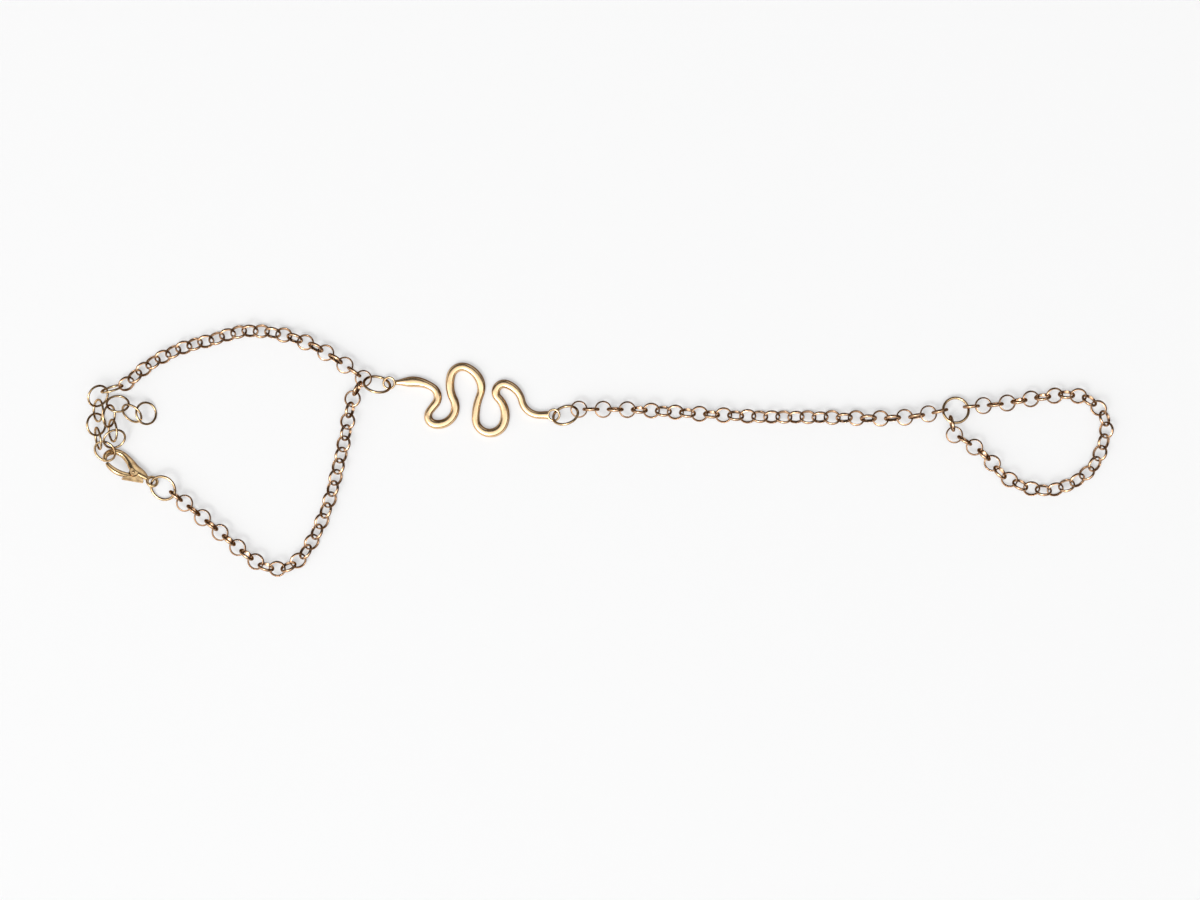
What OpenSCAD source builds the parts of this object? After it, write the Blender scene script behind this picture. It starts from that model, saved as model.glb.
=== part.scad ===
// Hand chain bracelet of round-link chain: a wrist chain with a clasp and an
// extension, a wavy snake bar, a chain across the hand and a finger loop.
// It lies on a flat surface, z = 0, with its length along X.

/* [Round links] */
// Inner diameter of a link
link_bore = 2.54; // [2.44:0.02:2.7]
// Thickness of a link's wire, measured across the ring
link_wall = 0.28; // [0.24:0.02:0.34]
// Width of a link's half-round wire, measured along the ring's axis
link_width = 0.58; // [0.46:0.02:0.6]
// Clear space kept between two linked pieces
link_clearance = 0.1; // [0.1:0.01:0.14]

/* [Jump rings] */
// Outer diameter of the three plain jump rings
ring_od = 5.04; // [4.6:0.02:5.4]
// Outer diameter of the wider ring at the wrist chain
wrist_ring_od = 5.2; // [4.8:0.02:5.6]
// Diameter of the jump rings' wire
ring_wire = 0.48; // [0.36:0.02:0.5]

/* [Extension] */
// Outer diameter of an extension ring
ext_od = 4.3; // [4.1:0.02:4.4]
// Diameter of an extension ring's wire
ext_wire = 0.4; // [0.26:0.02:0.42]

/* [Snake bar] */
// Radius that the bar's waves are drawn with
wave_r = 2.35; // [2.1:0.05:2.6]
// Plain width of the bar
bar_w = 1.6; // [1.2:0.05:1.7]
// Height of the bar above its flat back
bar_h = 1.3; // [1.2:0.05:1.5]
// Outer diameter of the ring soldered to each end of the bar
loop_od = 2.42; // [2.3:0.02:2.6]
// Diameter of that ring's wire
loop_wire = 0.42; // [0.34:0.02:0.44]

/* [Clasp] */
// Length of the clasp from the middle of its eye to its nose
clasp_l = 10; // [9:0.1:11.5]
// Width of the clasp's hook, seen from above it
hook_w = 1.05; // [0.9:0.05:1.15]
// Thickness of the clasp, back to front
clasp_t = 1.15; // [1:0.05:1.3]
// Outer diameter of the eye at the clasp's tail
eye_od = 2.35; // [2.3:0.05:2.6]
// Diameter of the wire that the eye is bent from
eye_wire = 0.56; // [0.5:0.02:0.58]
// Diameter of the rivet that the lever turns on
rivet_d = 0.5; // [0.4:0.02:0.6]
// Clear space between the lever and the clasp's body
hinge_clearance = 0.08; // [0.06:0.01:0.1]
// How far the clasp is rolled onto its hook side where it lies
clasp_roll = 35; // [30:1:38]

/* [Hidden] */
$fn = 48;
GOLD = "goldenrod";
PALE_GOLD = "gold";

// Columns of a place
X = 0;
Y = 1;
Z = 2;
// Further columns of a line that a section is swept along
WAY = 2;
WIDTH = 3;
HEIGHT = 4;

// Places chosen by hand: the bar's left ring, the finger ring and the clasp's nose
bar_at = [-37.9, 11.85];
finger_ring_at = [63.9, 6.95];
nose_at = [-89, -0.7];

// Route points chosen by hand, between the pieces that hold the chain's ends
UPPER_ROUTE = [[-48.1, 16.6], [-53.5, 19.4], [-58.9, 20.9], [-64.3, 21.1], [-69.7, 19.6],
               [-75.1, 18.1], [-80.5, 15.4], [-85.1, 11.7]];
LOWER_ROUTE = [[-44.5, 8.8], [-45.9, 1.6], [-47.3, -4.3], [-48.6, -9.2], [-50.7, -14.6],
               [-53.2, -18.9], [-55.6, -21], [-58.2, -21.5], [-61, -20.7], [-64.9, -17.8],
               [-69.7, -13.7]];
HAND_ROUTE = [[7.2, 7], [18, 6.3], [28.8, 5.8], [39.6, 5.7], [50.4, 5.5], [56.7, 5.9]];
FINGER_ROUTE = [[72, 8.1], [80.1, 9.4], [85.5, 9.6], [89.2, 7.7], [90.9, 4.5], [90.5, 1.5],
                [88.9, -2.6], [86, -5.4], [81.5, -7.3], [77, -7], [72.6, -4.9], [69.7, -1.7],
                [67.4, 0.2], [65.5, 1.5], [63.7, 2.4]];

// Twist of a chain about its own line: share of the chain, extra roll in degrees
UPPER_TWIST = [[0, 0], [0.12, 12], [0.3, 25], [0.45, 40], [0.7, 45], [1, 45]];
LOWER_TWIST = [[0, 0], [0.12, 25], [0.3, 45], [0.5, 50], [0.62, 66], [0.75, 82], [1, 90]];
HAND_TWIST = [[0, 0], [0.12, 8], [0.24, 35], [0.36, 20], [0.5, 42], [0.66, 52],
              [0.8, 70], [0.92, 80], [1, 90]];
FINGER_TWIST = [[0, 0], [0.15, 12], [0.3, 28], [0.42, 45], [0.6, 48], [0.8, 62], [1, 90]];

// Extension rings as they lie, chosen by hand, from the wrist chain's end to the held
// ring and back: x, y, lift off the surface as a share of ext_od, direction of the
// level diameter, tilt about it
LIFT = 2;
LEVEL = 3;
TILT = 4;
EXTENSION = [[-87.5, 10.8, 0, 15, -76], [-90, 9.5, 0.12, 60, 44],
             [-90, 6.9, 0, 90, -56], [-90.4, 4.4, 0.02, 90, 44],
             [-90, 1.9, 0, 100, -68], [-88.9, -0.4, 0.02, 150, -32],
             [-87, 1.8, 0.23, 35, 44], [-87.3, 3.3, 0.14, 95, -60],
             [-87.9, 5.9, 0.2, 85, 68], [-86.5, 8.1, 0.08, -10, -44],
             [-84, 6.4, 0, -35, 48], [-81.5, 6.4, 0, 100, 36]];
HELD_RING = 5;

// The bar's middle line as bends from left to right: run as a share of wave_r,
// turn in degrees (left is positive), width at the end as a share of bar_w
RUN = 0;
TURN = 1;
WIDE = 2;
BAR_BENDS = [[1.35, -4, 1.2], [1.6, -33, 0.88], [1.5, -98, 0.94], [0.65, 3, 0.88],
             [1.3, 117, 1.02], [2.95, 127, 0.95], [1.85, -42, 0.98], [1.6, -100, 0.95],
             [1.25, -38, 1], [1.3, -49, 0.86], [1.85, 24, 0.88], [3, 156, 1.05],
             [2.15, 67, 0.94], [1.7, -153, 0.98], [1.8, -59, 0.82], [1.9, 77, 0.84],
             [0.65, 0, 0.92]];
BAR_START_TURN = 5;
BAR_START_WIDTH = 0.55;
// Share of the bar's height that stays where the bar thins out
THIN_HEIGHT = 0.62;
// How far the top of the bar's rings lies under the bar's own top
LOOP_DROP = 0;

// The clasp's hook from tail to nose, and its lever from rivet to tip: along and
// across as shares of clasp_l, width as a share of hook_w, thickness of clasp_t
THICK = 3;
HOOK = [[0.09, 0, 0.6, 0.46], [0.22, -0.02, 1.5, 0.9], [0.38, -0.035, 1.85, 1],
        [0.53, -0.115, 1.35, 1], [0.69, -0.165, 1.05, 0.95], [0.83, -0.15, 1, 0.9],
        [0.925, -0.065, 1, 0.9], [0.95, 0.035, 0.85, 0.85], [0.925, 0.11, 0.7, 0.8],
        [0.905, 0.135, 0.5, 0.6]];
LEVER = [[0.37, 0.06, 0.5, 0.4], [0.385, 0.095, 0.65, 0.42], [0.425, 0.13, 0.8, 0.44],
         [0.52, 0.18, 1, 0.72], [0.65, 0.2, 1, 0.8], [0.77, 0.185, 0.85, 0.75],
         [0.835, 0.16, 0.7, 0.65], [0.86, 0.145, 0.5, 0.5]];
RIVET_AT = [0.37, 0.05];
// Corners of the thumb fin on the lever
FIN = [[0.47, 0.26], [0.14, 0.11], [0.16, 0.085], [0.33, 0.09]];
FIN_EDGE = 0.3;
// Thickness of the lever's root as a share of clasp_t, and metal left round the rivet
ROOT_SHARE = 0.44;
ROOT_WALL = 0.35;
EAR_WALL = 0.55;
// Height of the ears round the rivet as a share of clasp_t
EAR_SHARE = 0.9;
// The slot in which the lever turns: depth as a share of clasp_l, lowest angle, step
SLOT_DEPTH = 0.24;
SLOT_LOW = -24;
SLOT_STEP = 34;

// How the clasp lies: direction of its length, and rise towards the nose
CLASP_LEVEL = 149;
CLASP_PITCH = 3;

// How the jump rings lie: direction of the level diameter, then tilt about it
WRIST_RING_LEVEL = -14;
WRIST_RING_TILT = -54;
HAND_RING_LEVEL = 20;
HAND_RING_TILT = -47;
FINGER_RING_TILT = -12;
CLASP_RING_TILT = 28;
// The three links that hold the finger ring: direction from its middle, and how far
// the link's middle stands off the ring's wire as a share of the most it could
FROM = 0;
OFF = 1;
HAND_END = [183, 0.6];
FINGER_START = [14, 0.6];
FINGER_END = [252, 0.15];
// How far the finger ring lies below the middle of the links that hold it
FINGER_RING_DROP = 0.3;
// The same share for the links on the other three jump rings
HOOK_SHARE = 0.45;

// Powers that shape the swept sections: flanks and crown of the bar's dome, and the
// clasp's oval
DOME_FLANK = 0.55;
DOME_CROWN = 0.75;
OVAL_POWER = 0.85;

// Fineness of the drawn curves: parts of a route's span, sides of a swept section,
// parts of a clasp station's span, run of a step along the bar, and a small number
ROUTE_PARTS = 8;
SECTION_SIDES = 14;
STATION_PARTS = 4;
BAR_STEP = 0.75;
SMALL = 0.001;
// Share of the longest possible step that a chain's links take as it lies
SLACK = 0.92;

// Derived sizes of the links and rings
link_in = link_bore / 2;
link_out = link_in + link_wall;
ring_mean = (ring_od - ring_wire) / 2;
wrist_ring_mean = (wrist_ring_od - ring_wire) / 2;
ext_mean = (ext_od - ext_wire) / 2;
loop_mean = (loop_od - loop_wire) / 2;
eye_mean = (eye_od - eye_wire) / 2;
loop_z = bar_h - loop_wire / 2 - LOOP_DROP;
// The longest step between two links that keeps the clearance at the wire's corners
link_step = SLACK * (sqrt(pow(link_in - link_clearance, 2) - pow(link_width / 2, 2))
                     + sqrt(pow(link_in, 2) - pow(link_width / 2, 2)));
// How far a link's middle may stand off the wire of a jump ring
hook_off = link_in - ring_wire / 2 - link_clearance;

// Flat geometry
function polar(r, a) = [r * cos(a), r * sin(a)];
function flat(p) = [p[X], p[Y]];
function direction(v) = atan2(v[Y], v[X]);
function blend(a, b, f) = a + (b - a) * f;
function ease(f) = (1 - cos(180 * f)) / 2;

// A smooth curve through points, with the same number of parts in each span
function curve_point(a, b, c, d, f) =
    (2 * b + (c - a) * f + (2 * a - 5 * b + 4 * c - d) * f * f
     + (3 * b - a - 3 * c + d) * f * f * f) / 2;
function smooth(p, parts) =
    let (last = len(p) - 1)
    concat([for (i = [0:last - 1], k = [0:parts - 1])
                curve_point(p[max(i - 1, 0)], p[i], p[i + 1], p[min(i + 2, last)], k / parts)],
           [p[last]]);

// Distance run along a curve at each of its points, and the point at a distance
function runs(p) =
    [for (i = 0, s = 0; i < len(p); s = s + norm(p[min(i + 1, len(p) - 1)] - p[i]), i = i + 1) s];
function point_at(p, run, s) =
    let (i = [for (k = [0:len(run) - 2]) if (s <= run[k + 1]) k][0])
    blend(p[i], p[i + 1], (s - run[i]) / (run[i + 1] - run[i]));

// Middles of a chain's links along a route: evenly spaced, with an even or odd
// number of steps so that the last link stands the right way round
function step_count(length, odd) =
    let (n = ceil(length / link_step))
    n % 2 == odd ? n : n + 1;
function link_middles(route, odd) =
    let (line = smooth(route, ROUTE_PARTS), run = runs(line), length = run[len(run) - 1],
         n = step_count(length, odd))
    [for (k = [0:n]) point_at(line, run, length * min(k / n, 1 - SMALL))];

// Height of the links of a chain that lies on z = 0, where its links are rolled by an
// angle and by 90 degrees more in turn
function half_height(roll) = (link_out - link_width / 2) * abs(sin(roll)) + link_width / 2;
function chain_height(roll) = max(half_height(roll), half_height(roll + 90));

// A tilted ring: height of its middle at rest, the turn round it at which its wire has
// risen by some height, and the flat offset of its wire at a turn
function ring_rest(mean, tilt, wire) = mean * abs(sin(tilt)) + wire / 2;
function ring_turn(mean, tilt, rise) = asin(rise / (mean * sin(tilt)));
function on_ring(mean, level, tilt, turn) =
    polar(mean * cos(turn), level) + polar(mean * sin(turn) * cos(tilt), level + 90);

// The wrist jump ring passes through the bar's left ring and a link of the wrist chain
wrist_ring_z = ring_rest(wrist_ring_mean, WRIST_RING_TILT, ring_wire);
wrist_ring_at = bar_at - on_ring(wrist_ring_mean, WRIST_RING_LEVEL, WRIST_RING_TILT,
                                 ring_turn(wrist_ring_mean, WRIST_RING_TILT,
                                           loop_z - wrist_ring_z));
wrist_link_at = wrist_ring_at + polar(hook_off * HOOK_SHARE, 180 + WRIST_RING_LEVEL)
                + on_ring(wrist_ring_mean, WRIST_RING_LEVEL, WRIST_RING_TILT,
                          180 - ring_turn(wrist_ring_mean, WRIST_RING_TILT,
                                          link_out - wrist_ring_z));

// The bar's middle line: x, y, direction, share of the width
function chord(run, turn) = abs(turn) < SMALL ? run : run * sin(turn / 2) * 360 / (PI * turn);
function moved(p, run, turn, wide) =
    [p[X] + chord(run, turn) * cos(p[WAY] + turn / 2),
     p[Y] + chord(run, turn) * sin(p[WAY] + turn / 2), p[WAY] + turn, wide];
bar_steps = [for (i = [0:len(BAR_BENDS) - 1])
    let (bend = BAR_BENDS[i], n = ceil(bend[RUN] * wave_r / BAR_STEP),
         before = i == 0 ? BAR_START_WIDTH : BAR_BENDS[i - 1][WIDE])
    for (k = [1:n])
        [bend[RUN] * wave_r / n, bend[TURN] / n, blend(before, bend[WIDE], ease(k / n))]];
bar_start = bar_at + polar(loop_mean, BAR_START_TURN);
bar_line = [for (i = 0, p = [bar_start[X], bar_start[Y], BAR_START_TURN, BAR_START_WIDTH];
                 i <= len(bar_steps);
                 p = let (s = bar_steps[min(i, len(bar_steps) - 1)])
                     moved(p, s[RUN], s[TURN], s[WIDE]),
                 i = i + 1) p];
bar_end = bar_line[len(bar_line) - 1];
right_loop_at = flat(bar_end) + polar(loop_mean, bar_end[WAY]);

// The hand jump ring passes through the bar's right ring and the hand chain's first link
hand_ring_z = ring_rest(ring_mean, HAND_RING_TILT, ring_wire);
hand_ring_at = right_loop_at - on_ring(ring_mean, HAND_RING_LEVEL, HAND_RING_TILT,
                                       180 - ring_turn(ring_mean, HAND_RING_TILT,
                                                       loop_z - hand_ring_z));
hand_link_at = hand_ring_at + [hook_off * HOOK_SHARE, 0]
               + on_ring(ring_mean, HAND_RING_LEVEL, HAND_RING_TILT,
                         ring_turn(ring_mean, HAND_RING_TILT, link_out - hand_ring_z));

// Middle of an upright link that holds the finger ring
function link_on_ring(end) = finger_ring_at + polar(ring_mean + hook_off * end[OFF], end[FROM]);

// The clasp, its jump ring and the wrist chain's last link lie in one line
clasp_at = nose_at - polar(clasp_l, CLASP_LEVEL);
clasp_ring_at = clasp_at - polar(ring_mean, CLASP_LEVEL);
clasp_link_at = clasp_ring_at - polar(ring_mean + hook_off * HOOK_SHARE, CLASP_LEVEL);

// A cast piece's line of x, y, direction, width, thickness from its table of shares
function cast_line(rows) =
    let (p = smooth(rows, STATION_PARTS), last = len(p) - 1)
    [for (i = [0:last])
        let (way = direction(p[min(i + 1, last)] - p[max(i - 1, 0)]))
        [p[i][X] * clasp_l, p[i][Y] * clasp_l, way, p[i][WIDE] * hook_w, p[i][THICK] * clasp_t]];
hook_line = cast_line(HOOK);

rivet_at = RIVET_AT * clasp_l;
root_t = clasp_t * ROOT_SHARE;

// Sections as shares of width and height: a dome over a flat back, and a full oval
DOME = [for (k = [0:SECTION_SIDES - 1])
    let (a = 180 * k / (SECTION_SIDES - 1))
    [sign(cos(a)) * pow(abs(cos(a)), DOME_FLANK) / 2, pow(sin(a), DOME_CROWN)]];
OVAL = [for (k = [0:SECTION_SIDES - 1])
    let (a = 360 * k / SECTION_SIDES)
    [sign(cos(a)) * pow(abs(cos(a)), OVAL_POWER) / 2,
     sign(sin(a)) * pow(abs(sin(a)), OVAL_POWER) / 2]];

// Points of a section placed along a line of x, y, direction, width, height
function section_points(line, section) =
    [for (s = line, q = section)
        [s[X] - q[X] * s[WIDTH] * sin(s[WAY]), s[Y] + q[X] * s[WIDTH] * cos(s[WAY]),
         q[Y] * s[HEIGHT]]];

// Height of the clasp's eye where the lowest edge of its hook touches z = 0
clasp_z = max([for (p = section_points(hook_line, OVAL))
    -(p[Y] * sin(clasp_roll) + p[Z] * cos(clasp_roll)) * cos(CLASP_PITCH)
    - p[X] * sin(CLASP_PITCH)]);

// A round link: half-round wire, flat inside and domed outside
module round_link() {
    rotate_extrude() intersection() {
        translate([link_out - link_width / 2, 0]) circle(d = link_width);
        translate([link_in, -link_width]) square(2 * link_width);
    }
}

// A chain that lies on z = 0 along a route, from its first link on or a later one
module link_chain(route, first_roll, odd, twist, first = 0) {
    middles = link_middles(route, odd);
    last = len(middles) - 1;
    for (i = [first:last]) {
        roll = first_roll + 90 * i + lookup(i / last, twist);
        way = direction(middles[min(i + 1, last)] - middles[max(i - 1, 0)]);
        translate([middles[i][X], middles[i][Y], chain_height(roll)])
            rotate([roll, 0, way]) round_link();
    }
}

// A ring of round wire, and one that lies with a level diameter and a tilt about it
module wire_ring(mean, wire) {
    rotate_extrude() translate([mean, 0]) circle(d = wire);
}
module laid_ring(at, z, level, tilt, mean, wire) {
    translate([at[X], at[Y], z]) rotate([tilt, 0, level]) wire_ring(mean, wire);
}
module extension_ring(row) {
    laid_ring(row, ring_rest(ext_mean, row[TILT], ext_wire) + row[LIFT] * ext_od,
              row[LEVEL], row[TILT], ext_mean, ext_wire);
}

// A solid swept along such a line with one section
module swept(line, section) {
    sides = len(section);
    last = len(line) - 1;
    walls = [for (i = [0:last - 1], k = [0:sides - 1])
        let (a = i * sides + k, b = i * sides + (k + 1) % sides)
        for (corners = [[a, a + sides, b + sides], [a, b + sides, b]]) corners];
    ends = [[for (k = [0:sides - 1]) k], [for (k = [sides - 1:-1:0]) last * sides + k]];
    polyhedron(section_points(line, section), concat(walls, ends), convexity = 8);
}

// The clasp's pieces are drawn flat, with the nose along X, and laid down together
module as_clasp_lies() {
    translate([clasp_at[X], clasp_at[Y], clasp_z])
        rotate([0, 0, CLASP_LEVEL]) rotate([0, -CLASP_PITCH, 0]) rotate([clasp_roll, 0, 0])
            children();
}

module wrist_chain_upper() {
    color(GOLD) link_chain(concat([wrist_link_at], UPPER_ROUTE), 0, 1, UPPER_TWIST);
}

module wrist_chain_lower() {
    color(GOLD) link_chain(concat([wrist_link_at], LOWER_ROUTE, [clasp_link_at]), 0, 0,
                           LOWER_TWIST, 1);
}

module hand_chain() {
    color(GOLD) link_chain(concat([hand_link_at], HAND_ROUTE,
                                  [link_on_ring(HAND_END)]),
                           0, 0, HAND_TWIST);
}

module finger_chain() {
    color(GOLD) link_chain(concat([link_on_ring(FINGER_START)], FINGER_ROUTE,
                                  [link_on_ring(FINGER_END)]),
                           90, 1, FINGER_TWIST);
}

module extension_chain() {
    color(PALE_GOLD) for (i = [0:HELD_RING - 1]) extension_ring(EXTENSION[i]);
}

module extension_tail() {
    color(PALE_GOLD) for (i = [HELD_RING:len(EXTENSION) - 1]) extension_ring(EXTENSION[i]);
}

module wrist_jump_ring() {
    color(PALE_GOLD) laid_ring(wrist_ring_at, wrist_ring_z, WRIST_RING_LEVEL,
                               WRIST_RING_TILT, wrist_ring_mean, ring_wire);
}

module hand_jump_ring() {
    color(PALE_GOLD) laid_ring(hand_ring_at, hand_ring_z, HAND_RING_LEVEL,
                               HAND_RING_TILT, ring_mean, ring_wire);
}

module finger_ring() {
    color(PALE_GOLD) laid_ring(finger_ring_at, link_out - FINGER_RING_DROP, 0,
                               FINGER_RING_TILT, ring_mean, ring_wire);
}

module clasp_jump_ring() {
    color(PALE_GOLD) laid_ring(clasp_ring_at, ring_rest(ring_mean, CLASP_RING_TILT, ring_wire),
                               CLASP_LEVEL + 180, CLASP_RING_TILT, ring_mean, ring_wire);
}

module snake_pendant() {
    color(PALE_GOLD) union() {
        swept([for (p = bar_line) [p[X], p[Y], p[WAY], p[WIDTH] * bar_w,
                                   bar_h * blend(THIN_HEIGHT, 1, min(1, p[WIDTH]))]], DOME);
        for (at = [bar_at, right_loop_at])
            translate([at[X], at[Y], loop_z]) wire_ring(loop_mean, loop_wire);
    }
}

// The slot in the clasp's body, open on the side from which the lever comes
module lever_slot() {
    slot_t = root_t + 2 * hinge_clearance;
    translate([rivet_at[X], rivet_at[Y], -slot_t / 2]) linear_extrude(height = slot_t) union() {
        circle(r = rivet_d / 2 + ROOT_WALL + hinge_clearance);
        polygon(concat([[0, 0]], [for (a = [SLOT_LOW:SLOT_STEP:180])
                                      polar(SLOT_DEPTH * clasp_l, a)]));
    }
}

module clasp_body() {
    color(GOLD) as_clasp_lies() union() {
        wire_ring(eye_mean, eye_wire);
        difference() {
            union() {
                swept(hook_line, OVAL);
                translate([rivet_at[X], rivet_at[Y], 0])
                    cylinder(r = rivet_d / 2 + EAR_WALL, h = clasp_t * EAR_SHARE, center = true);
            }
            lever_slot();
        }
        translate([rivet_at[X], rivet_at[Y], 0]) cylinder(d = rivet_d, h = clasp_t, center = true);
    }
}

module clasp_lever() {
    color(PALE_GOLD) as_clasp_lies() difference() {
        union() {
            swept(cast_line(LEVER), OVAL);
            translate([rivet_at[X], rivet_at[Y], 0])
                cylinder(r = rivet_d / 2 + ROOT_WALL, h = root_t, center = true);
            hull() for (at = FIN)
                translate([at[X] * clasp_l, at[Y] * clasp_l, 0])
                    cylinder(d = FIN_EDGE, h = root_t, center = true);
        }
        translate([rivet_at[X], rivet_at[Y], 0])
            cylinder(d = rivet_d + 2 * hinge_clearance, h = 2 * clasp_t, center = true);
    }
}

wrist_chain_upper();
wrist_chain_lower();
hand_chain();
finger_chain();
extension_chain();
extension_tail();
wrist_jump_ring();
hand_jump_ring();
finger_ring();
clasp_jump_ring();
snake_pendant();
clasp_body();
clasp_lever();
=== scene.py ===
import math
import random

import bmesh
import bpy
import numpy as np
from mathutils import Matrix, Vector


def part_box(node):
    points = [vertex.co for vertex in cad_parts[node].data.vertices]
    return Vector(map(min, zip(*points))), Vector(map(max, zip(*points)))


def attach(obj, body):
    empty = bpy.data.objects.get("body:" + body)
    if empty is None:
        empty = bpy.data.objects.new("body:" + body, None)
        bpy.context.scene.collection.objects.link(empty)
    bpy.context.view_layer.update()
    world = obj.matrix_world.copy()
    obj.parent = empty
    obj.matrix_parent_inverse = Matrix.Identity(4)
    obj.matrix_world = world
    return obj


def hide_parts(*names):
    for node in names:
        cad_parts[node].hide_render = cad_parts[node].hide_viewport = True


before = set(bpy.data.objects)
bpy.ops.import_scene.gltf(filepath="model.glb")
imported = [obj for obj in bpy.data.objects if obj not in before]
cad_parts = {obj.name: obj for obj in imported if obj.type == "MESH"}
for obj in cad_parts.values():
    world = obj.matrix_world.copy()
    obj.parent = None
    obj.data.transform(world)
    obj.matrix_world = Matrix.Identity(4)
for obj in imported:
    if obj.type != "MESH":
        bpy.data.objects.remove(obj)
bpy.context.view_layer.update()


MM = 0.001
scatter = random.Random(11)

# The photograph: frame in pixels, width of a pixel, and the row frame's origin in it
PHOTO_WIDE = 1200
PHOTO_HIGH = 900
PIXEL = 0.18 * MM
ORIGIN_PX = (600, 449)

# Finish of the plated brass
ROSE_GOLD = (0.8, 0.5, 0.3)
RING_GOLD = (0.82, 0.58, 0.32)
BAR_GOLD = (0.98, 0.7, 0.42)
CLASP_GOLD = (0.88, 0.62, 0.33)
WORN_GOLD = (0.24, 0.13, 0.07)
# Painted shade: the dark colour painted on flanks that face away from the light
PAINTED_SHADE = (0.1, 0.045, 0.018)
# The side that painted light keeps bright: the crowns, and a little more on the lower left,
# where the light comes from; flanks turned away get painted shade
LIT_SIDE = (-0.25, -0.5, 1)

# Rings: steps round, sides of loose and cast round wire, and seams' depths as shares of it
LINK_STEPS = 56
RING_STEPS = 96
WIRE_SIDES = 18
CAST_SIDES = 20
LINK_SEAM = 0.1
RING_SEAM = 0.16
# A seam's half reach along the wire, its extra sections and its fade as shares of that
SEAM_REACH = 0.035 * MM
SEAM_SECTIONS = (-1.6, -0.8, 0, 0.8, 1.6)
SEAM_CLEAR = 2.2
SEAM_FADE = 1.2
# A link's section: eased edge as a share of its depth, and half of its dome in degrees
LINK_EASE = 0.16
LINK_DOME = 78
LINK_DOME_POINTS = 11
# Half of a link's inner side, dome to middle: shares of the eased edge and half width
INNER_SIDE = [(1, 0.985), (0.25, 0.93), (0, 0.8), (0, 0.27)]
# CAD corners nearer than this are one point, and a ring whose axis stands this near to
# upright takes its level direction from Y
WELD = 0.0005 * MM
UPRIGHT = 0.05


# Meshes

def piece(name, verts, faces, material, body, nodes):
    """A smooth piece in metres that rides on a body and stands for CAD nodes."""
    mesh = bpy.data.meshes.new(name)
    mesh.from_pydata([tuple(v) for v in verts], [], [tuple(f) for f in faces])
    mesh.validate()
    mesh.polygons.foreach_set("use_smooth", [True] * len(mesh.polygons))
    mesh.update()
    mesh.materials.append(material)
    obj = bpy.data.objects.new(name, mesh)
    bpy.context.scene.collection.objects.link(obj)
    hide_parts(*nodes)
    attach(obj, body)


def joined(parts):
    """One list of points and faces from several."""
    verts, faces, start = [], [], 0
    for points, polys in parts:
        verts.extend(points)
        faces.extend([[start + i for i in p] for p in polys])
        start += len(points)
    return np.array(verts), faces


def loose_parts(node):
    """The triangles of each loose solid in a CAD node, as arrays of corners in metres."""
    bm = bmesh.new()
    bm.from_mesh(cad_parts[node].data)
    bmesh.ops.remove_doubles(bm, verts=bm.verts, dist=WELD)
    bmesh.ops.triangulate(bm, faces=bm.faces)
    bm.faces.ensure_lookup_table()
    seen, parts = set(), []
    for face in bm.faces:
        if face.index in seen:
            continue
        seen.add(face.index)
        stack, corners = [face], []
        while stack:
            f = stack.pop()
            corners.append([v.co[:] for v in f.verts])
            for edge in f.edges:
                for other in edge.link_faces:
                    if other.index not in seen:
                        seen.add(other.index)
                        stack.append(other)
        parts.append(np.array(corners))
    bm.free()
    return parts


def ring_frame(corners):
    """A ring's middle, two level directions, axis, inner and outer radius and half width."""
    a, b, c = corners[:, 0], corners[:, 1], corners[:, 2]
    area = np.linalg.norm(np.cross(b - a, c - a), axis=1) / 2
    middle = ((a + b + c) * area[:, None]).sum(0) / (3 * area.sum())
    spread = np.zeros((3, 3))
    for part in (a - middle, b - middle, c - middle, a + b + c - 3 * middle):
        spread += np.einsum("n,ni,nj->ij", area, part, part)
    axis = np.linalg.eigh(spread)[1][:, 0]
    axis *= 1 if axis[2] >= 0 else -1
    level = np.cross([0, 0, 1], axis)
    if np.linalg.norm(level) < UPRIGHT:
        level = np.cross([0, 1, 0], axis)
    level /= np.linalg.norm(level)
    points = corners.reshape(-1, 3) - middle
    along = points @ axis
    radius = np.linalg.norm(points - along[:, None] * axis, axis=1)
    return (middle, level, np.cross(axis, level), axis, radius.min(), radius.max(),
            abs(along).max())


def link_section(inner, outer, half):
    """Half-round wire in radius and height: flat inside, domed outside, rounded edges."""
    edge = LINK_EASE * (outer - inner)
    middle = outer - half
    turns = [math.radians(a) for a in np.linspace(-LINK_DOME, LINK_DOME, LINK_DOME_POINTS)]
    points = [(middle + half * math.cos(a), half * math.sin(a)) for a in turns]
    points += [(inner + e * edge, half * h) for e, h in INNER_SIDE]
    points += [(inner + e * edge, -half * h) for e, h in reversed(INNER_SIDE)]
    return points


def wire_section(inner, outer, sides=WIRE_SIDES):
    """Round wire in radius and height."""
    wire = (outer - inner) / 2
    turns = [2 * math.pi * k / sides for k in range(sides)]
    return [(inner + wire + wire * math.cos(a), wire * math.sin(a)) for a in turns]


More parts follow.
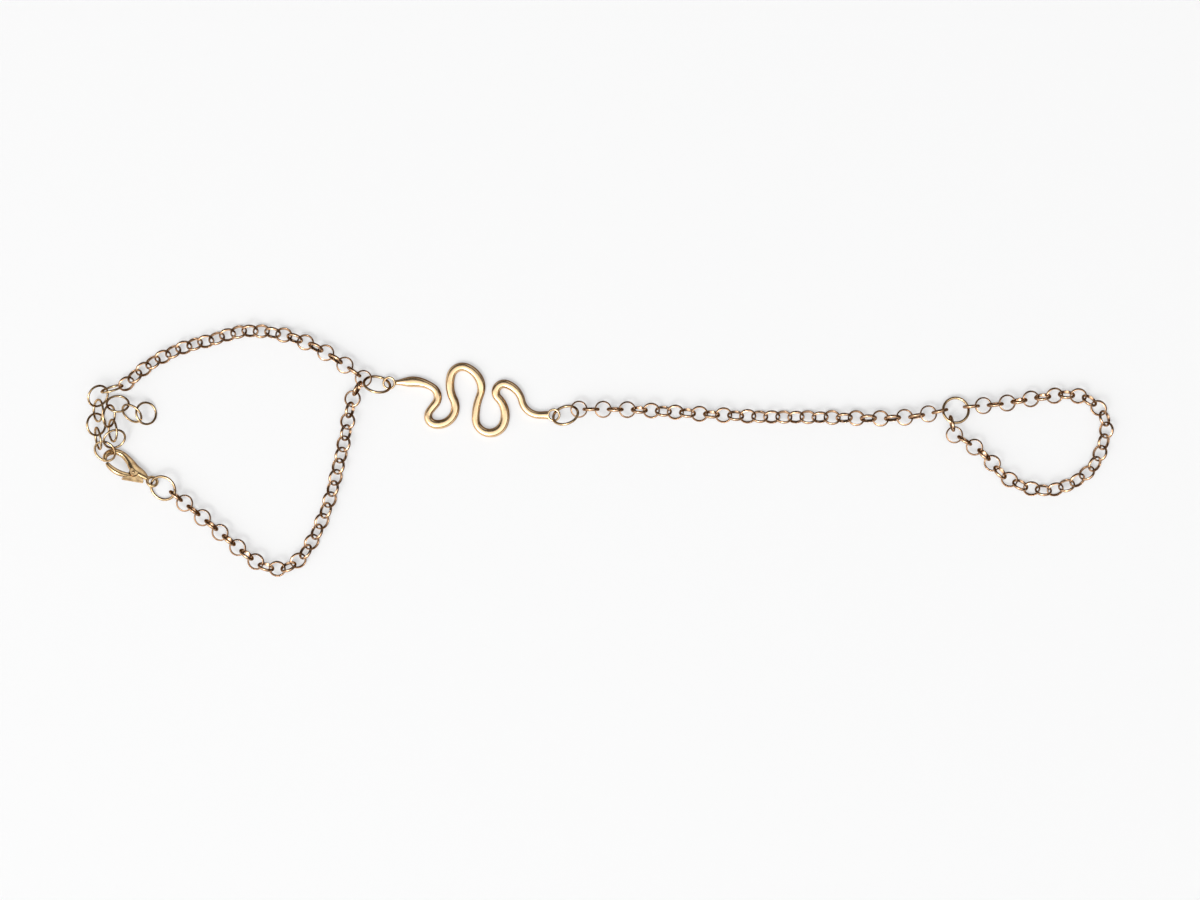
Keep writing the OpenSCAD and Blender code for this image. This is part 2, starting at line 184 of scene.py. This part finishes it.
def turned_ring(where, section, steps, seam_at=None, seam_depth=0.0):
    """A section turned about a ring's axis, with a fine seam across its wire."""
    middle, level, across, axis, inner, outer, half = where
    core = np.mean(section, axis=0)
    verts, faces = [], []
    turns = [2 * math.pi * k / steps for k in range(steps)]
    if seam_at is not None:
        pinch = SEAM_REACH / ((inner + outer) / 2)
        turns = [t for t in turns
                 if abs(math.remainder(t - seam_at, 2 * math.pi)) > SEAM_CLEAR * pinch]
        turns += [(seam_at + d * pinch) % (2 * math.pi) for d in SEAM_SECTIONS]
        turns.sort()
    for t in turns:
        near = 0.0
        if seam_at is not None:
            away = abs(math.remainder(t - seam_at, 2 * math.pi)) / pinch
            near = max(0.0, 1 - away / SEAM_FADE)
        out = math.cos(t) * level + math.sin(t) * across
        for r, h in section:
            r, h = core + (np.array([r, h]) - core) * (1 - seam_depth * near)
            verts.append(middle + r * out + h * axis)
    n, count = len(section), len(turns)
    for i in range(count):
        for k in range(n):
            a, b = i * n + k, i * n + (k + 1) % n
            c, d = ((i + 1) % count) * n + (k + 1) % n, ((i + 1) % count) * n + k
            faces.append([a, d, c, b])
    return verts, faces


def ring_piece(node, material, links=False):
    """A fine stand-in for a CAD node of loose rings: round links or rings of round wire."""
    parts = []
    for corners in loose_parts(node):
        where = ring_frame(corners)
        inner, outer, half = where[4:]
        section = link_section(inner, outer, half) if links else wire_section(inner, outer)
        seam = scatter.uniform(0, 2 * math.pi)
        steps, depth = (LINK_STEPS, LINK_SEAM) if links else (RING_STEPS, RING_SEAM)
        parts.append(turned_ring(where, section, steps, seam, depth))
    verts, faces = joined(parts)
    piece(node + "_fine", verts, faces, material, "bracelet", [node])


# Sweeps in millimetres for the cast pieces

def turn_sum(rows, start, heading, width, unit, step):
    """A line of x, y, direction, width share, from rows of run, turn and end width."""
    line = [[start[0], start[1], heading, width]]
    for run, turn, wide in rows:
        n = math.ceil(run * unit / step)
        before = line[-1][3]
        for k in range(1, n + 1):
            x, y, way, _ = line[-1]
            d = math.radians(turn / n)
            chord = run * unit / n * (math.sin(d / 2) / (d / 2) if abs(d) > 1e-6 else 1)
            middle = math.radians(way) + d / 2
            ease = (1 - math.cos(math.pi * k / n)) / 2
            line.append([x + chord * math.cos(middle), y + chord * math.sin(middle),
                         way + turn / n, before + (wide - before) * ease])
    return np.array(line)


def curve_line(rows, parts):
    """A smooth curve through rows of numbers, with some parts in each span."""
    rows = np.array(rows, float)
    last = len(rows) - 1
    out = []
    for i in range(last):
        a, b, c, d = rows[max(i - 1, 0)], rows[i], rows[i + 1], rows[min(i + 2, last)]
        for k in range(parts):
            f = k / parts
            out.append((2 * b + (c - a) * f + (2 * a - 5 * b + 4 * c - d) * f * f
                        + (3 * b - a - 3 * c + d) * f ** 3) / 2)
    out.append(rows[last])
    return np.array(out)


def swept(line, section):
    """A closed solid along a line of x, y, direction in degrees, width, height."""
    verts, faces = [], []
    for x, y, way, wide, high in line:
        sn, cs = math.sin(math.radians(way)), math.cos(math.radians(way))
        for u, v in section:
            verts.append((x - u * wide * sn, y + u * wide * cs, v * high))
    n, last = len(section), len(line) - 1
    for i in range(last):
        for k in range(n):
            a, b = i * n + k, i * n + (k + 1) % n
            faces.append([a, a + n, b + n, b])
    faces.append(list(range(n)))
    faces.append([last * n + k for k in range(n - 1, -1, -1)])
    return verts, faces


def wire_loop(x, y, z, mean, wire):
    """A flat ring of round wire."""
    inner, outer = mean - wire / 2, mean + wire / 2
    where = (np.array([x, y, z]), *np.eye(3), inner, outer, wire / 2)
    return turned_ring(where, wire_section(inner, outer, CAST_SIDES), RING_STEPS)


def disc(x, y, low, high, radius, steps=48):
    """An upright cylinder."""
    turns = [2 * math.pi * k / steps for k in range(steps)]
    verts = [(x + radius * math.cos(t), y + radius * math.sin(t), z)
             for z in (low, high) for t in turns]
    faces = [[k, (k + 1) % steps, steps + (k + 1) % steps, steps + k] for k in range(steps)]
    faces.append(list(range(steps - 1, -1, -1)))
    faces.append(list(range(steps, 2 * steps)))
    return verts, faces


def prism(outline, low, high):
    """An upright prism on an outline that runs anticlockwise."""
    n = len(outline)
    verts = [(x, y, z) for z in (low, high) for x, y in outline]
    faces = [[k, (k + 1) % n, n + (k + 1) % n, n + k] for k in range(n)]
    faces.append(list(range(n - 1, -1, -1)))
    faces.append(list(range(n, 2 * n)))
    return verts, faces


def scratch(name, parts):
    """An object in millimetres for booleans and remeshing, from parts that may overlap."""
    verts, faces = joined(parts)
    mesh = bpy.data.meshes.new(name)
    mesh.from_pydata([tuple(v) for v in verts], [], faces)
    mesh.update()
    obj = bpy.data.objects.new(name, mesh)
    bpy.context.scene.collection.objects.link(obj)
    return obj


def fused(name, parts, grain, soften, cut=()):
    """Points and faces of overlapping parts fused into one cast skin, then cut."""
    obj = scratch(name, parts)
    remesh = obj.modifiers.new("Skin", "REMESH")
    remesh.mode = "VOXEL"
    remesh.voxel_size = grain
    tools = [scratch(f"{name}_cut", [c]) for c in cut]
    for tool in tools:
        taken = obj.modifiers.new("Cut", "BOOLEAN")
        taken.operation = "DIFFERENCE"
        taken.solver = "EXACT"
        taken.object = tool
    if tools:
        again = obj.modifiers.new("Even", "REMESH")
        again.mode = "VOXEL"
        again.voxel_size = grain
    smooth = obj.modifiers.new("Polish", "SMOOTH")
    smooth.factor = 0.5
    smooth.iterations = soften
    seen = obj.evaluated_get(bpy.context.evaluated_depsgraph_get())
    mesh = bpy.data.meshes.new_from_object(seen)
    verts = np.empty(len(mesh.vertices) * 3)
    mesh.vertices.foreach_get("co", verts)
    faces = [list(p.vertices) for p in mesh.polygons]
    for done in [obj, *tools]:
        bpy.data.objects.remove(done)
    return verts.reshape(-1, 3), faces


# Materials: noises as scale, detail and roughness, and a hairline's turn and stretch
CLOUDS = (900, 3, 0.55)
SPECKS = (9000, 4, 0.6)
HAIRS = (2600, 2, 0.5)
HAIRS_LAY = ((0.3, 0.2, 0.7), (1, 22, 6))
CROSS_LAY = ((0.9, 0.4, -0.6), (24, 1, 5))
# The span of clouds that wears the plate, and how far; the span of clouds that hazes it
WORN_SPAN = (0.42, 0.75, 0.0, 0.75)
HAZE_SPAN = (0.3, 0.7)
# The span of the hairlines' noise that shows, and what they add to the roughness
HAIR_SPAN = (0.6, 0.72, 0.0, 0.5)
HAIR_ROUGH = 0.12
# Bumps in metres: casting dents and specks, with the specks' strength
DENT_DEEP = 0.02 * MM
SPECK_DEEP = 0.004 * MM
SPECK_BUMP = 0.12
EDGE_TINT = (0.66, 0.46, 0.32)


def gold(name, colour, worn, low, high, grain, dents, crown):
    """Polished plated brass: fine scratches, clouded polish, faint casting dents and painted
    shade on flanks away from the light.
    """
    mat = bpy.data.materials.new(name)
    mat.use_nodes = True
    tree = mat.node_tree
    tree.nodes.clear()
    link = tree.links.new

    def node(kind, **values):
        made = tree.nodes.new(kind)
        for key, value in values.items():
            setattr(made, key, value)
        return made

    out = node("ShaderNodeOutputMaterial")
    skin = node("ShaderNodeBsdfPrincipled")
    skin.inputs["Metallic"].default_value = 1.0
    skin.inputs["Specular Tint"].default_value = (*EDGE_TINT, 1)
    link(skin.outputs["BSDF"], out.inputs["Surface"])
    place = node("ShaderNodeTexCoord")

    def noise(scale, detail, rough, stretch=None):
        made = node("ShaderNodeTexNoise")
        made.inputs["Scale"].default_value = scale
        made.inputs["Detail"].default_value = detail
        made.inputs["Roughness"].default_value = rough
        source = place.outputs["Object"]
        if stretch:
            turned = node("ShaderNodeMapping")
            turned.inputs["Rotation"].default_value = stretch[0]
            turned.inputs["Scale"].default_value = stretch[1]
            link(source, turned.inputs["Vector"])
            source = turned.outputs["Vector"]
        link(source, made.inputs["Vector"])
        return made.outputs["Fac"]

    def spread(value, a, b, c, d):
        made = node("ShaderNodeMapRange")
        for key, number in zip(("From Min", "From Max", "To Min", "To Max"), (a, b, c, d)):
            made.inputs[key].default_value = number
        link(value, made.inputs["Value"])
        return made.outputs["Result"]

    clouds = noise(*CLOUDS)
    specks = noise(*SPECKS)
    hairs = noise(*HAIRS, HAIRS_LAY)
    cross = noise(*HAIRS, CROSS_LAY)

    def mixed(first, second, factor):
        made = node("ShaderNodeMix", data_type="RGBA")
        for key, source in (("A", first), ("B", second)):
            if isinstance(source, tuple):
                made.inputs[key].default_value = (*source, 1)
            else:
                link(source, made.inputs[key])
        link(factor, made.inputs["Factor"])
        return made.outputs["Result"]

    # Painted shade: flanks that face away from the light turn to the shade colour, while the
    # crowns and the lower-left side keep the plate's colour
    lit_facing = node("ShaderNodeVectorMath", operation="DOT_PRODUCT")
    lit_facing.inputs[1].default_value = LIT_SIDE
    link(place.outputs["Normal"], lit_facing.inputs[0])
    plate = mixed(colour, worn, spread(clouds, *WORN_SPAN))
    plate_and_painted_shade = mixed(PAINTED_SHADE, plate, spread(lit_facing.outputs["Value"], *crown, 0.0, 1.0))
    link(plate_and_painted_shade, skin.inputs["Base Color"])

    marks = node("ShaderNodeMath", operation="ADD")
    link(spread(hairs, *HAIR_SPAN), marks.inputs[0])
    link(spread(cross, *HAIR_SPAN), marks.inputs[1])
    haze = node("ShaderNodeMath", operation="ADD")
    link(spread(clouds, *HAZE_SPAN, low, high), haze.inputs[0])
    faint = node("ShaderNodeMath", operation="MULTIPLY")
    faint.inputs[1].default_value = HAIR_ROUGH
    link(marks.outputs["Value"], faint.inputs[0])
    link(faint.outputs["Value"], haze.inputs[1])
    link(haze.outputs["Value"], skin.inputs["Roughness"])

    shape = node("ShaderNodeBump")
    shape.inputs["Strength"].default_value = dents
    shape.inputs["Distance"].default_value = DENT_DEEP
    link(noise(grain, 2, 0.5), shape.inputs["Height"])
    fine = node("ShaderNodeBump")
    fine.inputs["Strength"].default_value = SPECK_BUMP
    fine.inputs["Distance"].default_value = SPECK_DEEP
    link(specks, fine.inputs["Height"])
    link(shape.outputs["Normal"], fine.inputs["Normal"])
    link(fine.outputs["Normal"], skin.inputs["Normal"])
    return mat


# Crown and worn colour, lowest and highest roughness, dents' scale and strength, and the
# span of facing towards the light over which painted shade gives way to plate
link_gold = gold("link_gold", ROSE_GOLD, WORN_GOLD, 0.12, 0.24, 1500, 0.5, (0.3, 1))
wire_gold = gold("wire_gold", RING_GOLD, WORN_GOLD, 0.12, 0.24, 1300, 0.4, (0.2, 0.95))
bar_gold = gold("bar_gold", BAR_GOLD, CLASP_GOLD, 0.14, 0.26, 700, 0.5, (0.1, 0.65))
clasp_gold = gold("clasp_gold", CLASP_GOLD, WORN_GOLD, 0.15, 0.28, 1100, 0.45, (-0.2, 0.5))

# Chains and rings, each ring where its CAD solid is
for chain in ("wrist_chain_upper", "wrist_chain_lower", "hand_chain", "finger_chain"):
    ring_piece(chain, link_gold, links=True)
for rings in ("extension_chain", "extension_tail", "wrist_jump_ring", "hand_jump_ring",
              "finger_ring", "clasp_jump_ring"):
    ring_piece(rings, wire_gold)

# The snake bar: sizes in millimetres, bends as run in wave radii, turn, end width
BAR_AT = (-37.9, 11.85)
WAVE_R = 2.35
BAR_W = 1.6
BAR_H = 1.3
LOOP_OD = 2.42
LOOP_WIRE = 0.42
LOOP_Z = BAR_H - LOOP_WIRE / 2
LOOP_MEAN = (LOOP_OD - LOOP_WIRE) / 2
THIN_HEIGHT = 0.62
BAR_START = 5
BAR_FIRST_W = 0.55
BAR_STEP = 0.12
DOME_FLANK = 0.55
DOME_CROWN = 0.75
BAR_GRAIN = 0.075
BAR_SOFTEN = 6
BAR_BENDS = [(1.35, -4, 1.2), (1.6, -33, 0.88), (1.5, -98, 0.94), (0.65, 3, 0.88),
             (1.3, 117, 1.02), (2.95, 127, 0.95), (1.85, -42, 0.98), (1.6, -100, 0.95),
             (1.25, -38, 1), (1.3, -49, 0.86), (1.85, 24, 0.88), (3, 156, 1.05),
             (2.15, 67, 0.94), (1.7, -153, 0.98), (1.8, -59, 0.82), (1.9, 77, 0.84),
             (0.65, 0, 0.92)]


def dome(flank, crown, sides=28):
    """Half section over a flat back, as shares of width and height."""
    turns = [math.pi * k / (sides - 1) for k in range(sides)]
    return [(math.copysign(abs(math.cos(a)) ** flank / 2, math.cos(a)),
             max(0, math.sin(a)) ** crown) for a in turns]


def oval(power, sides=28):
    """Full section, as shares of width and height."""
    turns = [2 * math.pi * k / sides for k in range(sides)]
    return [tuple(math.copysign(abs(v) ** power / 2, v) for v in (math.cos(a), math.sin(a)))
            for a in turns]


def snake_bar():
    """The cast bar with a soldered ring at each end."""
    start = (BAR_AT[0] + LOOP_MEAN * math.cos(math.radians(BAR_START)),
             BAR_AT[1] + LOOP_MEAN * math.sin(math.radians(BAR_START)))
    line = turn_sum(BAR_BENDS, start, BAR_START, BAR_FIRST_W, WAVE_R, BAR_STEP)
    high = BAR_H * (THIN_HEIGHT + (1 - THIN_HEIGHT) * np.minimum(1, line[:, 3]))
    body = np.column_stack([line[:, :3], line[:, 3] * BAR_W, high])
    end = body[-1]
    way = math.radians(end[2])
    right = (end[0] + LOOP_MEAN * math.cos(way), end[1] + LOOP_MEAN * math.sin(way))
    parts = [swept(body, dome(DOME_FLANK, DOME_CROWN))]
    for x, y in (BAR_AT, right):
        parts.append(wire_loop(x, y, LOOP_Z, LOOP_MEAN, LOOP_WIRE))
    verts, faces = fused("bar", parts, BAR_GRAIN, BAR_SOFTEN)
    piece("snake_bar_cast", verts * MM, faces, bar_gold, "bracelet",
          ["snake_pendant"])


snake_bar()

# The clasp: shares of its length, hook width and thickness, drawn with its nose along X
CLASP_L = 10
HOOK_W = 1.05
CLASP_T = 1.15
EYE_OD = 2.35
EYE_WIRE = 0.56
EYE_MEAN = (EYE_OD - EYE_WIRE) / 2
RIVET_D = 0.5
PLAY = 0.08
HOOK = [(0.09, 0, 0.6, 0.46), (0.22, -0.02, 1.5, 0.9), (0.38, -0.035, 1.85, 1),
        (0.53, -0.115, 1.35, 1), (0.69, -0.165, 1.05, 0.95), (0.83, -0.15, 1, 0.9),
        (0.925, -0.065, 1, 0.9), (0.95, 0.035, 0.85, 0.85), (0.925, 0.11, 0.7, 0.8),
        (0.905, 0.135, 0.5, 0.6)]
LEVER = [(0.37, 0.06, 0.5, 0.4), (0.385, 0.095, 0.65, 0.42), (0.425, 0.13, 0.8, 0.44),
         (0.52, 0.18, 1, 0.72), (0.65, 0.2, 1, 0.8), (0.77, 0.185, 0.85, 0.75),
         (0.835, 0.16, 0.7, 0.65), (0.86, 0.145, 0.5, 0.5)]
FIN = [(0.47, 0.26), (0.14, 0.11), (0.16, 0.085), (0.33, 0.09)]
FIN_CORNER = 0.15
RIVET = (3.7, 0.5)
ROOT_T = CLASP_T * 0.44
ROOT_RIM = 0.35
EAR_RIM = 0.55
EAR_T = CLASP_T * 0.9
# The open side of the lever's slot, as a reach and directions from the rivet
SLOT_REACH = 2.4
SLOT_SIDES = (-24, 10, 44, 78, 112, 146, 180)
CAST_POWER = 0.85
BODY_GRAIN = 0.05
BODY_SOFTEN = 5
LEVER_GRAIN = 0.045
LEVER_SOFTEN = 4
SPAN_PARTS = 12
NOSE_AT = (-89, -0.7)
CLASP_LEVEL = 149
CLASP_PITCH = 3
CLASP_ROLL = 35


def cast_line(rows):
    """A cast piece's line of x, y, direction, width, thickness."""
    line = curve_line(rows, SPAN_PARTS)
    ahead = np.roll(line, -1, 0) - np.roll(line, 1, 0)
    ahead[0], ahead[-1] = line[1] - line[0], line[-1] - line[-2]
    way = np.degrees(np.unwrap(np.arctan2(ahead[:, 1], ahead[:, 0])))
    return np.column_stack([line[:, 0] * CLASP_L, line[:, 1] * CLASP_L, way,
                            line[:, 2] * HOOK_W, line[:, 3] * CLASP_T])


def clasp_place():
    """Where the clasp lies: its eye's place, with its lowest edge on the surface."""
    way = math.radians(CLASP_LEVEL)
    turn = (Matrix.Rotation(way, 4, "Z") @ Matrix.Rotation(-math.radians(CLASP_PITCH), 4, "Y")
            @ Matrix.Rotation(math.radians(CLASP_ROLL), 4, "X"))
    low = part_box("clasp_body")[0][2] / MM
    flat = swept(cast_line(HOOK), oval(CAST_POWER))[0]
    lowest = min((turn @ Vector(v))[2] for v in flat)
    eye = Vector((NOSE_AT[0] - CLASP_L * math.cos(way), NOSE_AT[1] - CLASP_L * math.sin(way),
                  low - lowest))
    return Matrix.Translation(eye) @ turn


def laid(verts, place):
    """Points in millimetres, put where the clasp lies, in metres."""
    return [tuple((place @ Vector(v)) * MM) for v in verts]


def clasp():
    """The clasp's cast body and its lever."""
    place = clasp_place()
    slot_t = ROOT_T + 2 * PLAY
    fan = [RIVET]
    for a in SLOT_SIDES:
        fan.append((RIVET[0] + SLOT_REACH * math.cos(math.radians(a)),
                    RIVET[1] + SLOT_REACH * math.sin(math.radians(a))))
    root_r = RIVET_D / 2 + ROOT_RIM
    body = [swept(cast_line(HOOK), oval(CAST_POWER)),
            wire_loop(0, 0, 0, EYE_MEAN, EYE_WIRE),
            disc(*RIVET, -EAR_T / 2, EAR_T / 2, RIVET_D / 2 + EAR_RIM)]
    slots = [prism(fan, -slot_t / 2, slot_t / 2),
             disc(*RIVET, -slot_t / 2, slot_t / 2, root_r + PLAY)]
    verts, faces = fused("clasp", body, BODY_GRAIN, BODY_SOFTEN, slots)
    rivet = disc(*RIVET, -CLASP_T / 2, CLASP_T / 2, RIVET_D / 2)
    verts, faces = joined([(verts, faces), rivet])
    piece("clasp_body_cast", laid(verts, place), faces, clasp_gold, "bracelet",
          ["clasp_body"])
    fin = [(x + FIN_CORNER * math.cos(a), y + FIN_CORNER * math.sin(a))
           for x, y in np.array(FIN) * CLASP_L
           for a in np.linspace(0, 2 * math.pi, 12, endpoint=False)]
    lever = [swept(cast_line(LEVER), oval(CAST_POWER)),
             disc(*RIVET, -ROOT_T / 2, ROOT_T / 2, root_r),
             prism(hull_of(fin), -ROOT_T / 2, ROOT_T / 2)]
    bore = [disc(*RIVET, -CLASP_T, CLASP_T, RIVET_D / 2 + PLAY)]
    verts, faces = fused("lever", lever, LEVER_GRAIN, LEVER_SOFTEN, bore)
    piece("clasp_lever_cast", laid(verts, place), faces, clasp_gold, "lever",
          ["clasp_lever"])


def hull_of(points):
    """The outline round some points, anticlockwise."""
    points = sorted(points)

    def half(run):
        out = []
        for p in run:
            while len(out) > 1 and ((out[-1][0] - out[-2][0]) * (p[1] - out[-2][1])
                                    <= (out[-1][1] - out[-2][1]) * (p[0] - out[-2][0])):
                out.pop()
            out.append(p)
        return out[:-1]

    return half(points) + half(points[::-1])


clasp()

# Floor, light and camera
FLOOR_REACH = 3.0
PAPER = (0.46, 0.46, 0.46)
PAPER_GLOW = 0.44
floor_mesh = bpy.data.meshes.new("floor")
floor_mesh.from_pydata([(x * FLOOR_REACH, y * FLOOR_REACH, 0)
                        for x, y in ((-1, -1), (1, -1), (1, 1), (-1, 1))], [], [(0, 1, 2, 3)])
floor = bpy.data.objects.new("floor", floor_mesh)
bpy.context.scene.collection.objects.link(floor)
paper = bpy.data.materials.new("paper")
paper.use_nodes = True
paper_skin = paper.node_tree.nodes["Principled BSDF"]
paper_skin.inputs["Base Color"].default_value = (*PAPER, 1)
paper_skin.inputs["Roughness"].default_value = 0.9
paper_skin.inputs["Emission Color"].default_value = (1, 1, 1, 1)
paper_skin.inputs["Emission Strength"].default_value = PAPER_GLOW
floor_mesh.materials.append(paper)

world = bpy.data.worlds.new("studio")
bpy.context.scene.world = world
bpy.context.scene.view_settings.view_transform = "Standard"
world.use_nodes = True
sky = world.node_tree
backdrop = sky.nodes["Background"]


def sky_node(kind, *sources, out=0, **values):
    """An output of a new node in the sky's tree, with the node's inputs set in order."""
    made = sky.nodes.new(kind)
    for key, value in values.items():
        setattr(made, key, value)
    for i, source in enumerate(sources):
        if hasattr(source, "links"):
            sky.links.new(source, made.inputs[i])
        else:
            made.inputs[i].default_value = source
    return made.outputs[out]


# A wide window towards -Y that reaches past overhead, in an otherwise dim room. Spans of
# direction from dark to bright, and the glow of the room and of the window
NEAR_SPAN = (0.22, -0.08)
HIGH_AIM = (-0.3, 0, 1)
HIGH_SPAN = (0.35, 0.7)
SKY_GLOW = (0.08, 1.6)
# Two brighter patches for the highlights: direction, edge and core as cosines, glow
PATCHES = [((-0.3, -0.43, 0.85), 0.95, 0.985, 4.5), ((0.485, 0.806, 0.342), 0.9, 0.99, 0.9)]
where = sky.nodes.new("ShaderNodeTexCoord").outputs["Generated"]
across = sky_node("ShaderNodeVectorMath", where, (0, 1, 0), out="Value", operation="DOT_PRODUCT")
risen = sky_node("ShaderNodeVectorMath", where, HIGH_AIM, out="Value", operation="DOT_PRODUCT")
near_side = sky_node("ShaderNodeMapRange", across, *NEAR_SPAN, 0.0, 1.0,
                     interpolation_type="SMOOTHSTEP")
high_side = sky_node("ShaderNodeMapRange", risen, *HIGH_SPAN, 0.0, 1.0,
                     interpolation_type="SMOOTHSTEP")
window = sky_node("ShaderNodeMath", near_side, high_side, operation="MULTIPLY")
glow = sky_node("ShaderNodeMapRange", window, 0.0, 1.0, *SKY_GLOW)
for aim, edge, core, extra in PATCHES:
    toward = sky_node("ShaderNodeVectorMath", where, aim, out="Value", operation="DOT_PRODUCT")
    patch = sky_node("ShaderNodeMapRange", toward, edge, core, 0.0, extra,
                     interpolation_type="SMOOTHSTEP")
    glow = sky_node("ShaderNodeMath", glow, patch, operation="ADD")
tint = sky_node("ShaderNodeCombineColor", glow, glow, glow)
sky.links.new(tint, backdrop.inputs["Color"])


def softbox(name, at, size, power):
    """A square area light aimed at the object."""
    data = bpy.data.lights.new(name, "AREA")
    data.shape = "SQUARE"
    data.size = size
    data.energy = power
    lamp = bpy.data.objects.new(name, data)
    lamp.location = at
    lamp.rotation_euler = (-Vector(at)).to_track_quat("-Z", "Y").to_euler()
    bpy.context.scene.collection.objects.link(lamp)


softbox("window", (-0.35, -0.5, 0.95), 0.35, 2.6)

LENS = 90
SENSOR = 36
camera_data = bpy.data.cameras.new("camera")
camera_data.lens = LENS
camera_data.sensor_width = SENSOR
camera_data.sensor_fit = "HORIZONTAL"
camera = bpy.data.objects.new("camera", camera_data)
view_wide = PHOTO_WIDE * PIXEL
camera.location = ((PHOTO_WIDE / 2 - ORIGIN_PX[0]) * PIXEL,
                   (ORIGIN_PX[1] - PHOTO_HIGH / 2) * PIXEL, view_wide * LENS / SENSOR)
bpy.context.scene.collection.objects.link(camera)
bpy.context.scene.camera = camera
